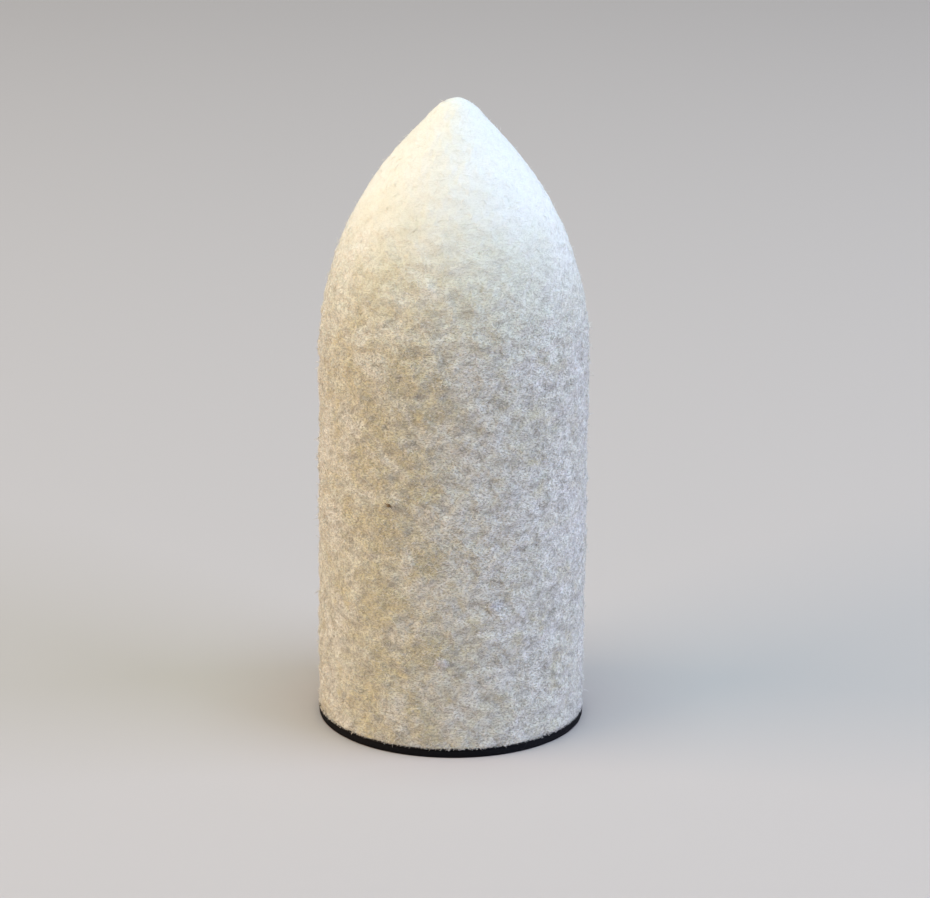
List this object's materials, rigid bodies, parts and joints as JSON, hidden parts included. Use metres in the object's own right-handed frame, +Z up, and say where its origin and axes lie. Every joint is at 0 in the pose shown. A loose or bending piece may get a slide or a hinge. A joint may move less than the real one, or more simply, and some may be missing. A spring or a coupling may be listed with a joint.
{
  "type": "felt polishing bob",
  "caption": "Bullet-shaped hard felt polishing bob on a thin black backing disc, with a threaded brass insert in its base for a machine spindle.",
  "frame": {"origin": "middle of the base's lower face, on the bob's axis", "axes": "+Z up along the bob's axis, from the base to the tip of the nose; X and Y are any two directions across it"},
  "size_m": [0.0254, 0.0254, 0.06],
  "materials": {
    "wool_felt": "matte",
    "black_fibre": "matte",
    "insert_brass": "satin",
    "potting_epoxy": "satin",
    "contact_cement": "matte"
  },
  "bodies": {
    "root": {"felt_bullet": "wool_felt", "backing_disc": "black_fibre", "threaded_insert": "insert_brass", "insert_epoxy": "potting_epoxy", "cement_film": "contact_cement"}
  },
  "joints": []
}
